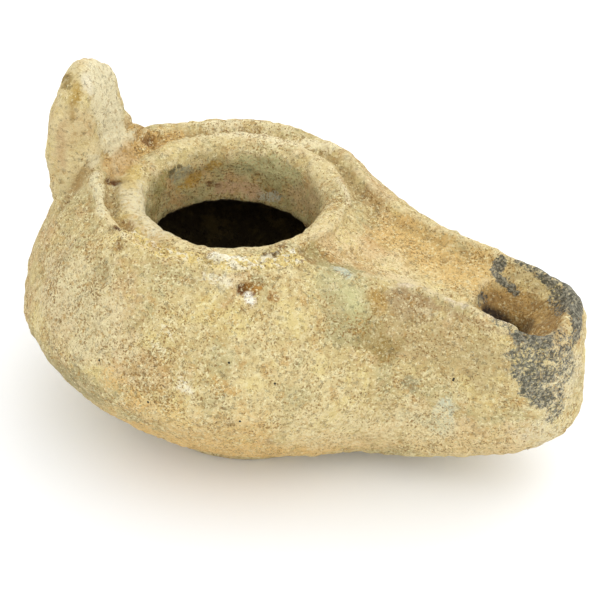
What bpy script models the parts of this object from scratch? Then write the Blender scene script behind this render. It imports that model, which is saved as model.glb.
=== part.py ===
"""A clay oil lamp in one fired piece: a drop-shaped hollow body on a low round foot.

A collar stands round the filling hole, a ridge runs round the collar and on along a shallow channel to
the wick hole in a blunt spout, and an upright tongue handle stands at the back. Metres, +Z up. The
origin is the middle of the foot's underside, and +X runs along the spout.
"""

from math import copysign, cos, pi, radians, sin, sqrt

import bmesh
import bpy
from mathutils import Vector

MM = 0.001

# Filling hole, its collar and the ridge round it
MOUTH_SHIFT = -2.8 * MM
MOUTH_RADIUS = 13.0 * MM
LIP_WIDTH = 4.7 * MM
LIP_HEIGHT = 38.1 * MM
LIP_ROUND = 1.4 * MM
LIP_FLARE = 2.5 * MM
COLLAR_ROOT = 4.0 * MM
GROOVE_WIDTH = 2.5 * MM
RIDGE_HEIGHT = 38.7 * MM
RIDGE_WIDTH = 1.5 * MM
RIDGE_ROUND = 0.8 * MM
RIDGE_SWELL = 1.9 * MM
RIDGE_SWELL_REACH = 5.5 * MM

# Body: a round back that runs into a blunt spout
SHOULDER_WIDTH = 11.0 * MM
BACK_SHIFT = -1.1 * MM
SPOUT_REACH = 56.5 * MM
SPOUT_WIDTH = 21.6 * MM
SPOUT_LENGTH = 16.0 * MM
SPOUT_RIDGE_HEIGHT = 31.0 * MM
RIDGE_LEVEL_SHARE = 0.6
WIDEST_HEIGHT = 18.8 * MM
SPOUT_WIDEST_HEIGHT = 14.0 * MM
FLANK_TURN = radians(61.0)
FLANK_SLOPE = radians(4.5)
FLANK_PULL = 0.4
TIP_SQUARENESS = 0.69
RIM_SQUARENESS = 0.88

# Fullness of the rounded sections: 1 is straight, 2 is a quarter circle and more is squarer
UNDERSIDE_FULLNESS = 1.36
SPOUT_UNDERSIDE_FULLNESS = 1.9
SHOULDER_FULLNESS = 1.48
SPOUT_SHOULDER_FULLNESS = 2.3
HANDLE_FULLNESS = 2.6
HANDLE_TOP_FULLNESS = 4.2
WICK_FULLNESS = 2.6

# Channel between the ridges, from the collar to the wick hole
CHANNEL_WIDTH = 15.7 * MM
CHANNEL_LENGTH = 22.8 * MM
CHANNEL_DEPTH = 2.1 * MM
CHANNEL_DISH = 0.6 * MM
CHANNEL_DISH_SHARE = 0.55
CHANNEL_TURN = radians(48.0)
CHANNEL_SLOPE = radians(1.0)
SPOUT_RIM = 3.2 * MM

# Wick hole, a funnel above a narrower passage
WICK_WIDTH = 14.8 * MM
WICK_LENGTH = 13.8 * MM
WICK_RIM = 3.9 * MM
WICK_DEPTH = 9.0 * MM
WICK_PASSAGE = 8.2 * MM

# Foot
FOOT_RADIUS = 16.8 * MM
FOOT_HEIGHT = 1.9 * MM
FOOT_ROUND = 0.6 * MM
FOOT_ROOT = 2.0 * MM
FOOT_GROOVE_RADIUS = 10.5 * MM
FOOT_GROOVE_DEPTH = 0.7 * MM

# Hollow
WALL = 4.4 * MM
FLOOR = 5.0 * MM
ROOF = 10.3 * MM
SPOUT_ROOF = 8.5 * MM

# Handle
HANDLE_HEIGHT = 55.0 * MM
HANDLE_WIDTH = 20.0 * MM
HANDLE_THICKNESS = 10.6 * MM
HANDLE_TOP_WIDTH = 16.4 * MM
HANDLE_TOP_THICKNESS = 8.2 * MM
HANDLE_GAP = 0.9 * MM
HANDLE_BOW = 2.5 * MM
HANDLE_LEAN = 4.8 * MM
HANDLE_ROOT = 13.0 * MM
HANDLE_FLARE = 1.0 * MM
HANDLE_FLARE_FADE = 3
HANDLE_RING_CROWDING = 1.7

# Fineness of the meshes
BODY_POINT_COUNT = 42
HOLLOW_POINT_COUNT = 25
TURN_STEP_COUNT = 64
CURVE_STEP_COUNT = 24
ARC_STEP_COUNT = 4
UNDERSIDE_RING_COUNT = 9
SHOULDER_RING_COUNT = 8
HOLLOW_RING_COUNT = 5
HANDLE_RING_COUNT = 12
OVAL_POINT_COUNT = 32
MERGE = 0.01 * MM

# Sizes that follow from the ones above
LIP_RADIUS = MOUTH_RADIUS + LIP_WIDTH
RIDGE_RADIUS = LIP_RADIUS + GROOVE_WIDTH
BODY_RADIUS = RIDGE_RADIUS + SHOULDER_WIDTH
TIP = MOUTH_SHIFT + SPOUT_REACH

CLAY = (0.56, 0.43, 0.27, 1.0)


def mix(first, second, share):
    return first + (second - first) * share


def blend(value, start, end):
    """0 before start, 1 after end, and a smooth change between them."""
    share = min(max((value - start) / (end - start), 0.0), 1.0)
    return share * share * (3.0 - 2.0 * share)


def cubic(start, start_aim, end_aim, end):
    """Points of a cubic curve after its start."""
    points = []
    for step in range(1, CURVE_STEP_COUNT + 1):
        t = step / CURVE_STEP_COUNT
        s = 1.0 - t
        points.append(start * s**3 + start_aim * 3 * s * s * t + end_aim * 3 * s * t * t + end * t**3)
    return points


def even_points(points, count):
    """The same line with count points at equal distances along it."""
    lengths = [0.0]
    for first, second in zip(points, points[1:]):
        lengths.append(lengths[-1] + (second - first).length)
    placed = []
    span = 0
    for index in range(count):
        target = lengths[-1] * index / (count - 1)
        while span < len(points) - 2 and lengths[span + 1] < target:
            span += 1
        share = (target - lengths[span]) / (lengths[span + 1] - lengths[span])
        placed.append(points[span].lerp(points[span + 1], min(share, 1.0)))
    return placed


def half_drop(radius, centre, turn, neck, slope, reach, squareness):
    """Half of a drop seen from above, from the middle of its back to its tip, on the +Y side.

    A circle about centre leaves off at the angle turn from +X, a curve carries it in to the point
    neck, where it runs at slope, and a corner closes it at reach, squarer as squareness nears 1.
    """
    points = []
    for step in range(CURVE_STEP_COUNT + 1):
        angle = mix(pi, turn, step / CURVE_STEP_COUNT)
        points.append(Vector((centre + radius * cos(angle), radius * sin(angle))))
    leaving = Vector((sin(turn), -cos(turn)))
    arriving = Vector((cos(slope), -sin(slope)))
    pull = (neck - points[-1]).length * FLANK_PULL
    points += cubic(points[-1], points[-1] + leaving * pull, neck - arriving * pull, neck)
    corner = (reach - neck.x) * squareness
    tip = Vector((reach, 0.0))
    points += cubic(neck, neck + arriving * corner, tip + Vector((0.0, neck.y * squareness)), tip)
    return points


def body_outline(count, inset=0.0):
    """Half of the body's widest outline, drawn in by inset."""
    neck = Vector((TIP - SPOUT_LENGTH, SPOUT_WIDTH / 2 - inset))
    centre = MOUTH_SHIFT + BACK_SHIFT
    reach = TIP - inset
    line = half_drop(BODY_RADIUS - inset, centre, FLANK_TURN, neck, FLANK_SLOPE, reach, TIP_SQUARENESS)
    return even_points(line, count)


def ridge_outline(count, inset=0.0):
    """Half of the line along the ridge's crest, drawn in by inset."""
    neck = Vector((TIP - CHANNEL_LENGTH, CHANNEL_WIDTH / 2 - inset))
    reach = TIP - SPOUT_RIM - inset
    radius = RIDGE_RADIUS - inset
    line = half_drop(radius, MOUTH_SHIFT, CHANNEL_TURN, neck, CHANNEL_SLOPE, reach, RIM_SQUARENESS)
    return even_points(line, count)


def foot_outline(count, radius):
    """Half of a circle about the foot's middle, from the back to the front."""
    angles = [mix(pi, 0.0, index / (count - 1)) for index in range(count)]
    return [Vector((radius * cos(angle), radius * sin(angle))) for angle in angles]


def spout_share(point):
    """How far a point belongs to the spout: 0 round the mouth and 1 at the tip."""
    return blend(point.x, MOUTH_SHIFT + MOUTH_RADIUS / 2, TIP)


def widest_height(point):
    return mix(WIDEST_HEIGHT, SPOUT_WIDEST_HEIGHT, spout_share(point))


def ridge_height(x):
    """Height of the ridge's crest, which swells at the handle, runs level and falls evenly to the tip."""
    back = MOUTH_SHIFT - RIDGE_RADIUS
    swell = RIDGE_SWELL * (1.0 - blend(x, back, back + RIDGE_SWELL_REACH))
    start = MOUTH_SHIFT + RIDGE_RADIUS * RIDGE_LEVEL_SHARE
    share = min(max((x - start) / (TIP - start), 0.0), 1.0)
    return mix(RIDGE_HEIGHT, SPOUT_RIDGE_HEIGHT, share) + swell


def rounded(share, fullness):
    """Shares across and along a quarter round, at a share of the way round it."""
    across = max(sin(pi / 2 * share), 0.0) ** (2.0 / fullness)
    along = max(cos(pi / 2 * share), 0.0) ** (2.0 / fullness)
    return across, along


def underside_rings(low, wide, low_height, count):
    """Rings from the foot's circle up to the widest outline."""
    rings = []
    for step in range(count + 1):
        ring = []
        for near, far in zip(low, wide):
            share = blend(far.x, MOUTH_SHIFT, TIP - SPOUT_LENGTH)
            fullness = mix(UNDERSIDE_FULLNESS, SPOUT_UNDERSIDE_FULLNESS, share)
            out, down = rounded(step / count, fullness)
            place = near.lerp(far, out)
            ring.append(Vector((place.x, place.y, mix(widest_height(far), low_height, down))))
        rings.append(ring)
    return rings


def shoulder_rings(wide, crest, crest_drop, spout_drop, count):
    """Rings above the widest outline, in to a line that lies under the ridge's crest by the drops."""
    rings = []
    for step in range(1, count + 1):
        ring = []
        for far, near in zip(wide, crest):
            share = spout_share(far)
            fullness = mix(SHOULDER_FULLNESS, SPOUT_SHOULDER_FULLNESS, share)
            up, out = rounded(step / count, fullness)
            place = near.lerp(far, out)
            top = ridge_height(near.x) - mix(crest_drop, spout_drop, share)
            ring.append(Vector((place.x, place.y, mix(widest_height(far), top, up))))
        rings.append(ring)
    return rings


def top_ring(inset, drop, narrowing=1.0):
    """A ring inside the ridge's crest, lower than it by drop."""
    return [
        Vector((point.x, point.y * narrowing, ridge_height(point.x) - drop))
        for point in ridge_outline(BODY_POINT_COUNT, inset)
    ]


def add_ring(bm, half):
    """Vertices of a closed ring from its +Y half, which begins and ends on the middle line."""
    mirrored = [Vector((point.x, -point.y, point.z)) for point in half[-2:0:-1]]
    return [bm.verts.new(point) for point in half + mirrored]


def add_oval(bm, centre, along, across, height, fullness):
    """Vertices of an oval ring with half sizes along X and across Y."""
    ring = []
    for index in range(OVAL_POINT_COUNT):
        angle = 2 * pi * index / OVAL_POINT_COUNT
        x = copysign(abs(cos(angle)) ** (2 / fullness), cos(angle))
        y = copysign(abs(sin(angle)) ** (2 / fullness), sin(angle))
        ring.append(bm.verts.new((centre + along * x, across * y, height)))
    return ring


def join_rings(bm, rings):
    for lower, upper in zip(rings, rings[1:]):
        for index, corner in enumerate(lower):
            after = (index + 1) % len(lower)
            bm.faces.new((corner, lower[after], upper[after], upper[index]))


def close_across(bm, ring):
    """Closes a ring with strips that run straight across from one side to the other."""
    count = len(ring)
    for index in range(count // 2):
        corners = [ring[index], ring[index + 1], ring[count - index - 1], ring[(count - index) % count]]
        bm.faces.new(dict.fromkeys(corners))


def link_mesh(name, bm, collection):
    bmesh.ops.recalc_face_normals(bm, faces=bm.faces)
    mesh = bpy.data.meshes.new(name)
    bm.to_mesh(mesh)
    bm.free()
    mesh.shade_smooth()
    made = bpy.data.objects.new(name, mesh)
    collection.objects.link(made)
    return made


def lofted_object(name, halves, collection):
    """A closed solid through rings listed from the bottom to the top."""
    bm = bmesh.new()
    rings = [add_ring(bm, half) for half in halves]
    join_rings(bm, rings)
    close_across(bm, rings[0])
    close_across(bm, rings[-1])
    return link_mesh(name, bm, collection)


def turned_object(name, profile, x, collection):
    """A solid turned about the upright line at x, from a profile of (radius, height), top to bottom."""
    bm = bmesh.new()
    points = [bm.verts.new((radius, 0.0, height)) for radius, height in profile]
    for first, second in zip(points, points[1:]):
        bm.edges.new((first, second))
    made = link_mesh(name, bm, collection)
    made.location.x = x
    turn = made.modifiers.new("Turn", "SCREW")
    turn.steps = TURN_STEP_COUNT
    turn.render_steps = TURN_STEP_COUNT
    turn.use_merge_vertices = True
    turn.merge_threshold = MERGE
    turn.use_smooth_shade = True
    return made


def arc(radius, height, size, start, end):
    """Profile points round an arc about (radius, height), with angles measured from straight out."""
    angles = [mix(start, end, step / ARC_STEP_COUNT) for step in range(ARC_STEP_COUNT + 1)]
    return [(radius + size * cos(angle), height + size * sin(angle)) for angle in angles]


def make_body(collection):
    """The outside of the body, with the ridge, the groove and the dished channel in its top."""
    low = foot_outline(BODY_POINT_COUNT, FOOT_RADIUS - FOOT_ROUND)
    wide = body_outline(BODY_POINT_COUNT)
    side = RIDGE_WIDTH / 2
    rings = underside_rings(low, wide, FOOT_HEIGHT, UNDERSIDE_RING_COUNT)
    foot_of_ridge = ridge_outline(BODY_POINT_COUNT, -side)
    rings += shoulder_rings(wide, foot_of_ridge, RIDGE_ROUND, RIDGE_ROUND, SHOULDER_RING_COUNT)
    rings.append(top_ring(0.0, 0.0))
    rings.append(top_ring(side, RIDGE_ROUND / 2))
    rings.append(top_ring(RIDGE_WIDTH, CHANNEL_DEPTH))
    rings.append(top_ring(RIDGE_WIDTH, CHANNEL_DEPTH + CHANNEL_DISH, CHANNEL_DISH_SHARE))
    return lofted_object("lamp", rings, collection)


def make_foot(collection):
    """A low disc with a turned groove in its underside, let into the body."""
    top = FOOT_HEIGHT + FOOT_ROOT
    sides = [(0.0, top), (FOOT_RADIUS - FOOT_ROOT, top), (FOOT_RADIUS, FOOT_HEIGHT)]
    edge = arc(FOOT_RADIUS - FOOT_ROUND, FOOT_ROUND, FOOT_ROUND, 0.0, -pi / 2)
    groove = arc(FOOT_GROOVE_RADIUS, 0.0, FOOT_GROOVE_DEPTH, 0.0, pi)
    return turned_object("foot", [*sides, *edge, *groove, (0.0, 0.0)], 0.0, collection)


def make_collar(collection):
    """The lip round the filling hole, as a plug that the mouth is bored through."""
    edge = arc(LIP_RADIUS - LIP_ROUND, LIP_HEIGHT - LIP_ROUND, LIP_ROUND, pi / 2, 0.0)
    bottom = RIDGE_HEIGHT - CHANNEL_DEPTH - COLLAR_ROOT
    profile = [(0.0, LIP_HEIGHT), *edge, (LIP_RADIUS, bottom), (0.0, bottom)]
    return turned_object("collar", profile, MOUTH_SHIFT, collection)


def handle_middle(share):
    """The handle's middle along X at a share of its height, set close behind the collar at the ridge."""
    behind = MOUTH_SHIFT - LIP_RADIUS - HANDLE_GAP - HANDLE_THICKNESS / 2
    leaving = HANDLE_ROOT / (HANDLE_HEIGHT - RIDGE_HEIGHT + HANDLE_ROOT)
    return behind - HANDLE_LEAN * (share - leaving) - HANDLE_BOW * (sin(pi * share) - sin(pi * leaving))


def make_handle(collection):
    """A tongue that stands up behind the collar, broad at its root and rounded over at the top."""
    base = RIDGE_HEIGHT - HANDLE_ROOT
    bm = bmesh.new()
    rings = []
    for step in range(HANDLE_RING_COUNT):
        share = 1.0 - (1.0 - step / HANDLE_RING_COUNT) ** HANDLE_RING_CROWDING
        rounding = sqrt(1.0 - share**HANDLE_TOP_FULLNESS)
        flare = HANDLE_FLARE * (1.0 - share) ** HANDLE_FLARE_FADE
        along = mix(HANDLE_THICKNESS, HANDLE_TOP_THICKNESS, share) / 2 * rounding
        across = mix(HANDLE_WIDTH, HANDLE_TOP_WIDTH, share) / 2 * rounding + flare
        height = mix(base, HANDLE_HEIGHT, share)
        rings.append(add_oval(bm, handle_middle(share), along, across, height, HANDLE_FULLNESS))
    join_rings(bm, rings)
    bm.faces.new(rings[0])
    top = bm.verts.new((handle_middle(1.0), 0.0, HANDLE_HEIGHT))
    last = rings[-1]
    for index, corner in enumerate(last):
        bm.faces.new((corner, last[(index + 1) % OVAL_POINT_COUNT], top))
    return link_mesh("handle", bm, collection)


def make_hollow(collection):
    """The reservoir, a smaller drop inside the body that reaches under the wick hole."""
    low = foot_outline(HOLLOW_POINT_COUNT, FOOT_RADIUS - WALL)
    wide = body_outline(HOLLOW_POINT_COUNT, WALL)
    crest = ridge_outline(HOLLOW_POINT_COUNT, WALL / 2)
    rings = underside_rings(low, wide, FLOOR, HOLLOW_RING_COUNT)
    rings += shoulder_rings(wide, crest, ROOF, SPOUT_ROOF, HOLLOW_RING_COUNT)
    return lofted_object("hollow", rings, collection)


def make_mouth(collection):
    """The bore of the filling hole, flared where the lip rounds over."""
    above = LIP_HEIGHT + LIP_WIDTH
    below = RIDGE_HEIGHT - ROOF - WALL
    outer = MOUTH_RADIUS + LIP_FLARE
    flare = arc(outer, LIP_HEIGHT - LIP_FLARE, LIP_FLARE, pi / 2, pi)
    profile = [(0.0, above), (outer, above), *flare, (MOUTH_RADIUS, below), (0.0, below)]
    return turned_object("mouth", profile, MOUTH_SHIFT, collection)


def make_wick_hole(collection):
    """A funnel that narrows to a passage down into the end of the reservoir."""
    middle = TIP - WICK_RIM - WICK_LENGTH / 2
    rim = ridge_height(middle)
    taper = (WICK_WIDTH - WICK_PASSAGE) / 2
    levels = [
        (SPOUT_WIDEST_HEIGHT, -taper),
        (rim - WICK_DEPTH, -taper),
        (rim, 0.0),
        (rim + WICK_DEPTH, taper),
    ]
    bm = bmesh.new()
    rings = []
    for height, spread in levels:
        along = WICK_LENGTH / 2 + spread
        across = WICK_WIDTH / 2 + spread
        rings.append(add_oval(bm, middle, along, across, height, WICK_FULLNESS))
    join_rings(bm, rings)
    bm.faces.new(rings[0])
    bm.faces.new(rings[-1])
    return link_mesh("wick_hole", bm, collection)


def combine(target, other, operation):
    boolean = target.modifiers.new(other.name, "BOOLEAN")
    boolean.operation = operation
    boolean.object = other
    boolean.solver = "EXACT"
    other.hide_render = True
    other.display_type = "WIRE"


def clay_material():
    material = bpy.data.materials.new("fired_clay")
    material.use_nodes = True
    shader = material.node_tree.nodes["Principled BSDF"]
    shader.inputs["Base Color"].default_value = CLAY
    shader.inputs["Roughness"].default_value = 0.9
    material.diffuse_color = CLAY
    return material


def new_collection(name):
    collection = bpy.data.collections.new(name)
    bpy.context.scene.collection.children.link(collection)
    return collection


def main():
    for old in list(bpy.data.objects):
        bpy.data.objects.remove(old)
    lamp_parts = new_collection("clay_oil_lamp")
    helpers = new_collection("added_and_cut_shapes")
    lamp = make_body(lamp_parts)
    lamp.data.materials.append(clay_material())
    for added in (make_foot(helpers), make_handle(helpers), make_collar(helpers)):
        combine(lamp, added, "UNION")
    for cutter in (make_hollow(helpers), make_mouth(helpers), make_wick_hole(helpers)):
        combine(lamp, cutter, "DIFFERENCE")


main()
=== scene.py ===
import math

import bmesh
import bpy
import numpy as np
from mathutils import Matrix, Vector, noise
from mathutils.bvhtree import BVHTree


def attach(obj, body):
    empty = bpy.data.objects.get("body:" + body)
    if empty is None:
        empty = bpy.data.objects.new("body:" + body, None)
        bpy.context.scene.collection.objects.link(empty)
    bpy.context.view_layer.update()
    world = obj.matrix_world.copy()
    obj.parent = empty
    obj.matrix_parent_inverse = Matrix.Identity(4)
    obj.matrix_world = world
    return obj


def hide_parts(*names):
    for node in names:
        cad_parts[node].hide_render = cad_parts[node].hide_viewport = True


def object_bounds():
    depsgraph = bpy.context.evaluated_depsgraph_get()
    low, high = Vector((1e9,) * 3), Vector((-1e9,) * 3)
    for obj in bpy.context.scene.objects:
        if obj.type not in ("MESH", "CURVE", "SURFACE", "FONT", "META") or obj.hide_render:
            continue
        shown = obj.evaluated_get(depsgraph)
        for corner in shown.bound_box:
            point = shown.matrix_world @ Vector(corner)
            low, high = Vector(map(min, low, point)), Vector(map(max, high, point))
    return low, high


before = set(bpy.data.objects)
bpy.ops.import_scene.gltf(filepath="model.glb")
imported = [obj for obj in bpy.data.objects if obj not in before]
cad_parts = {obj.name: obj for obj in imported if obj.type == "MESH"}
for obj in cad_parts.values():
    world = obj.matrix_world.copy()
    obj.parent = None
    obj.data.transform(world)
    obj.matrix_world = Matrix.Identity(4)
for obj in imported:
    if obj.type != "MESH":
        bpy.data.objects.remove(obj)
solid_box = [list(corner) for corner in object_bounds()]

MM = 0.001

# Camera, at the photograph's angle
VIEW_AZIMUTH = math.radians(21.93)
VIEW_ELEVATION = math.radians(35.76)
VIEW_ROLL = math.radians(1.43)
VIEW_DISTANCE = 342.3 * MM
VIEW_TARGET = Vector((8.5, 0.0, 21.18)) * MM
LENS = 134.2
SENSOR_WIDTH = 36.0
CLIP_START = 0.01

# Floor, in metres but for its drop, and its colour
FLOOR_SIZE = 3.0
FLOOR_DROP = 0.05 * MM
FLOOR_COLOUR = (0.92, 0.925, 0.93, 1.0)
FLOOR_ROUGHNESS = 0.95

# Soft lights: name, place in metres, size, power and colour
LIGHTS = (
    ("key", Vector((0.45, -0.25, 0.60)), 0.8, 1.4, (1.0, 0.98, 0.95)),
    ("back", Vector((0.1, 0.6, 0.6)), 0.8, 1.6, (1.0, 1.0, 1.0)),
)
SKY_COLOUR = (0.98, 0.99, 1.0, 1.0)
SKY_STRENGTH = 1.2

# Lengths from here on are in millimetres, and turns in degrees.
# A pair of numbers says where a change starts and where it is full.
# Rounds say how often values are moved towards the mean of their neighbours.

# Skin of the clay: size of its faces, and lumps with their height
WELD_DISTANCE = 0.01
SKIN_STEP = 0.555
SKIN_ROUNDS = 2
NORMAL_ROUNDS = 4
LUMPS = ((11.0, 0.32), (4.5, 0.26), (2.0, 0.22), (1.1, 0.19))
NOISE_SHIFT = (17.3, 5.1, 9.7)
SKIN_SINK = 0.1

# Pits and crumbs: how many, radius, depth or height, and the seed of their places
PITS = (420, (0.5, 1.1), (0.12, 0.45), 5)
CRUMBS = (260, (0.5, 0.9), (0.1, 0.3), 6)

# Grit in the groove and at the bore's foot: size, height and seed
GROOVE_GRIT = (1.1, 0.8, 21)
BORE_GRIT = (1.3, 0.22, 23)

# The foot stands level: relief starts above it, and its underside is only pitted, and weakly
FOOT_CLEARANCE = 0.6
FOOT_BLEND = 1.5
UNDERSIDE_NORMAL = -0.9
UNDERSIDE_RELIEF = 0.3

# How ragged the edges of marks are: size, share and seed of each noise
TEARS = ((3.0, 0.8, 41), (1.3, 0.5, 42), (0.7, 0.3, 43))
MARK_TEAR = 0.3

# How hollow a place is: rounds of evening to compare with, and the depth that counts as full
HOLLOW_ROUNDS = 12
HOLLOW_FULL = 0.25

# Filling hole and the bore below it, whose lower edge hangs a little lower and further in
MOUTH_MIDDLE_X = -2.8
BORE_RADIUS = 13.0
BORE_FOOT = 28.4
BORE_FOOT_RISE = 6.0
BORE_FOOT_BELOW = (2.5, 1.0)
BORE_FOOT_ROUND = (2.5, 0.5)
BORE_BACK = (-12.0, 0.0)
BORE_NARROWING = 0.7
BORE_DROP = 0.9
BORE_COLOUR_ROUND = (3.0, 1.2)
BORE_COLOUR_LEVEL = (37.6, 33.5)

# The hollow inside, and how its walls are found
INSIDE_FLOOR = 3.5
INSIDE_TOP = 29.0
SPOUT_INSIDE_START = 36.0
SPOUT_INSIDE_TOP = 14.0
INSIDE_START = 0.3
INSIDE_WALLS = 3
INSIDE_ROUNDS = 2

# The groove round the collar
GROOVE_RADIUS = 18.9
GROOVE_HALF_WIDTH = 2.6
GROOVE_FLAT = 0.6
GROOVE_FLOOR = 36.0
GROOVE_FLOOR_BLEND = 1.0
GROOVE_SLOPE_START = 17.6
GROOVE_SLOPE_REACH = 3.0
GROOVE_SOFT_END = 3.0
GROOVE_FILL_LIMIT = 5.0
GROOVE_FILL_ROUNDS = 2
CRUST_SPREAD = 1.05

# How rough the fill is: size, share and seed of each noise, and then the share of it that soil and crust show
ROUGH_FILL = ((1.6, 1.0, 31), (0.8, 0.6, 32))
ROUGH_FILL_LIFT = 0.5
SOIL_COVER = 0.55
SOIL_ROUGHNESS = 0.35
SOIL_ROUNDS = 1
CRUST_COVER = 0.7
CRUST_ROUGHNESS = 0.5
CRUST_LIFT = 0.5
CRUST_ROUNDS = 2

# A thin raised line where the collar meets the channel, its arc in degrees from the middle of the spout
COLLAR_LINE_RADIUS = 17.3
COLLAR_LINE_HALF_WIDTH = 0.9
COLLAR_LINE_HEIGHT = 0.5
COLLAR_LINE_MIDDLE = 2.0
COLLAR_LINE_ARC = (26.0, 18.0)
COLLAR_LINE_LEVEL = (36.5, 37.2)

# Clay smeared up against the collar where the channel begins: arc, inner and outer radius, level and fall
SKIRT_ARC = (-52.0, 48.0)
SKIRT_SOFT_END = 8.0
SKIRT_REACH = (16.4, 21.5)
SKIRT_INNER_BLEND = 0.4
SKIRT_OUTER_BLEND = 1.5
SKIRT_LEVEL = 37.7
SKIRT_FALL = 0.66
SKIRT_LIMIT = 2.0
SKIRT_START = (33.0, 34.0)
SKIRT_ROUNDS = 3

# What lies in the groove: arc, level, slope up from the collar, roughness, share of soil and of crust
GROOVE_FILLS = (
    (161.0, 195.0, 38.0, 1.15, 1.3, 1.0, 0.0),
    (138.0, 161.0, 37.6, 0.3, 0.7, 1.0, 0.0),
    (60.0, 138.0, 36.9, 0.0, 0.5, 0.2, 0.0),
    (195.0, 238.0, 36.6, 0.0, 0.4, 0.25, 0.05),
    (238.0, 282.0, 38.0, 0.0, 1.0, 0.2, 0.7),
    (284.0, 326.0, 38.2, 0.0, 1.0, 0.1, 1.0),
)

# Dents and chips: middle, reach and depth
DENTS = (
    ((-14.3, -21.4, 35.3), 2.8, 0.55),
    ((-26.3, -17.6, 27.9), 2.8, 0.6),
    ((-13.0, -27.2, 27.6), 1.8, 0.5),
    ((8.0, -19.8, 36.6), 1.3, 0.8),
    ((0.5, 19.8, 38.8), 2.8, 1.3),
    ((3.2, 19.0, 38.7), 2.4, 1.1),
    ((-20.9, 8.2, 38.6), 1.3, 0.9),
    ((-20.4, -7.6, 38.4), 1.4, 1.0),
    ((-14.6, -16.8, 37.8), 1.3, 0.8),
    ((-12.3, -19.6, 37.5), 1.2, 0.6),
    ((8.0, -20.2, 36.2), 1.0, 0.6),
)

# The wick hole's far and end walls lean in towards its near corner
FUNNEL_LEVEL = (31.0, 26.0)
FUNNEL_BOTTOM = (17.0, 20.0)
FUNNEL_START = (36.0, 38.0)
FUNNEL_END = (51.0, 49.0)
FUNNEL_SIDES = (8.0, 6.5)
FUNNEL_LEAN_ALONG = 2.6
FUNNEL_END_WALL = (41.0, 46.0)
FUNNEL_LEAN_ACROSS = 2.2
FUNNEL_FAR_WALL = (-3.0, 2.0)

# Its near wall is worn wider, and the near corner lower
NEAR_WIDENING = 1.3
NEAR_START = (39.5, 46.5)
NEAR_END = (52.0, 49.5)
NEAR_LEVEL = (24.0, 28.0)
NEAR_OUTER_SIDE = (-7.6, -5.2)
NEAR_INNER_SIDE = (0.0, -2.5)
NEAR_CORNER = (49.2, -6.0, 31.0)
NEAR_CORNER_REACH = 7.5
NEAR_CORNER_DROP = 0.8

# The handle's tip has worn down
TIP_WEAR = 0.45
TIP_LEVEL = (46.0, 55.0)

# Edges that stand proud, and seams with a height below nought: start, end, half width and height
EDGES = (
    ((-23.2, -5.8, 42.6), (-22.0, -8.2, 40.2), 2.3, 1.1),
    ((-22.0, -8.2, 40.2), (-20.2, -10.6, 39.3), 2.1, 1.1),
    ((-20.2, -10.6, 39.3), (-17.6, -14.2, 38.3), 1.8, 0.8),
    ((-23.8, -6.2, 41.4), (-24.6, -8.8, 38.2), 1.0, -0.8),
    ((-24.6, -8.8, 38.2), (-26.6, -11.0, 34.8), 1.0, -0.6),
    ((-21.2, -6.4, 38.4), (-19.2, -4.2, 37.8), 0.8, -0.7),
    ((-23.8, 6.0, 45.6), (-23.4, 6.8, 43.2), 2.4, 0.25),
    ((-23.3, 6.9, 41.6), (-22.9, 7.7, 40.0), 2.1, 1.0),
    ((-26.0, 5.2, 50.4), (-25.2, 6.4, 47.6), 2.8, 0.5),
    ((-28.0, -0.5, 54.2), (-28.2, -3.6, 53.4), 2.8, 0.7),
    ((-28.2, -3.6, 53.4), (-28.2, -6.4, 50.4), 2.8, 0.7),
    ((-28.2, -6.4, 50.4), (-28.0, -7.8, 46.0), 2.6, 0.5),
    ((-21.4, 9.2, 39.8), (-18.6, 11.6, 39.6), 2.0, -0.6),
    ((10.3, 9.8, 38.1), (12.4, 7.3, 37.9), 1.1, 0.6),
    ((12.4, 7.3, 37.9), (14.0, 5.1, 37.3), 1.1, 0.6),
    ((24.0, -8.6, 35.8), (27.0, -8.2, 35.4), 0.8, 0.3),
    ((27.0, -8.2, 35.4), (32.0, -8.0, 34.6), 0.8, 0.4),
    ((32.0, -8.0, 34.6), (38.5, -7.6, 33.4), 0.8, 0.4),
    ((38.5, -7.6, 33.4), (45.5, -7.0, 31.9), 0.9, 0.25),
)

# Places where the ridge has worn to a soft shoulder: middle and reach
WORN = (
    ((18.0, -11.5, 37.5), 8.0),
    ((24.0, -9.0, 36.2), 6.0),
)
WORN_ROUNDS = 40
WORN_STRENGTH = 2.0

# The lip of the filling hole is worn round too: how much, how far from its edge, and from which level
LIP_WEAR = 0.6
LIP_WEAR_REACH = (2.4, 0.9)
LIP_LEVEL = (34.5, 36.0)

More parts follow.
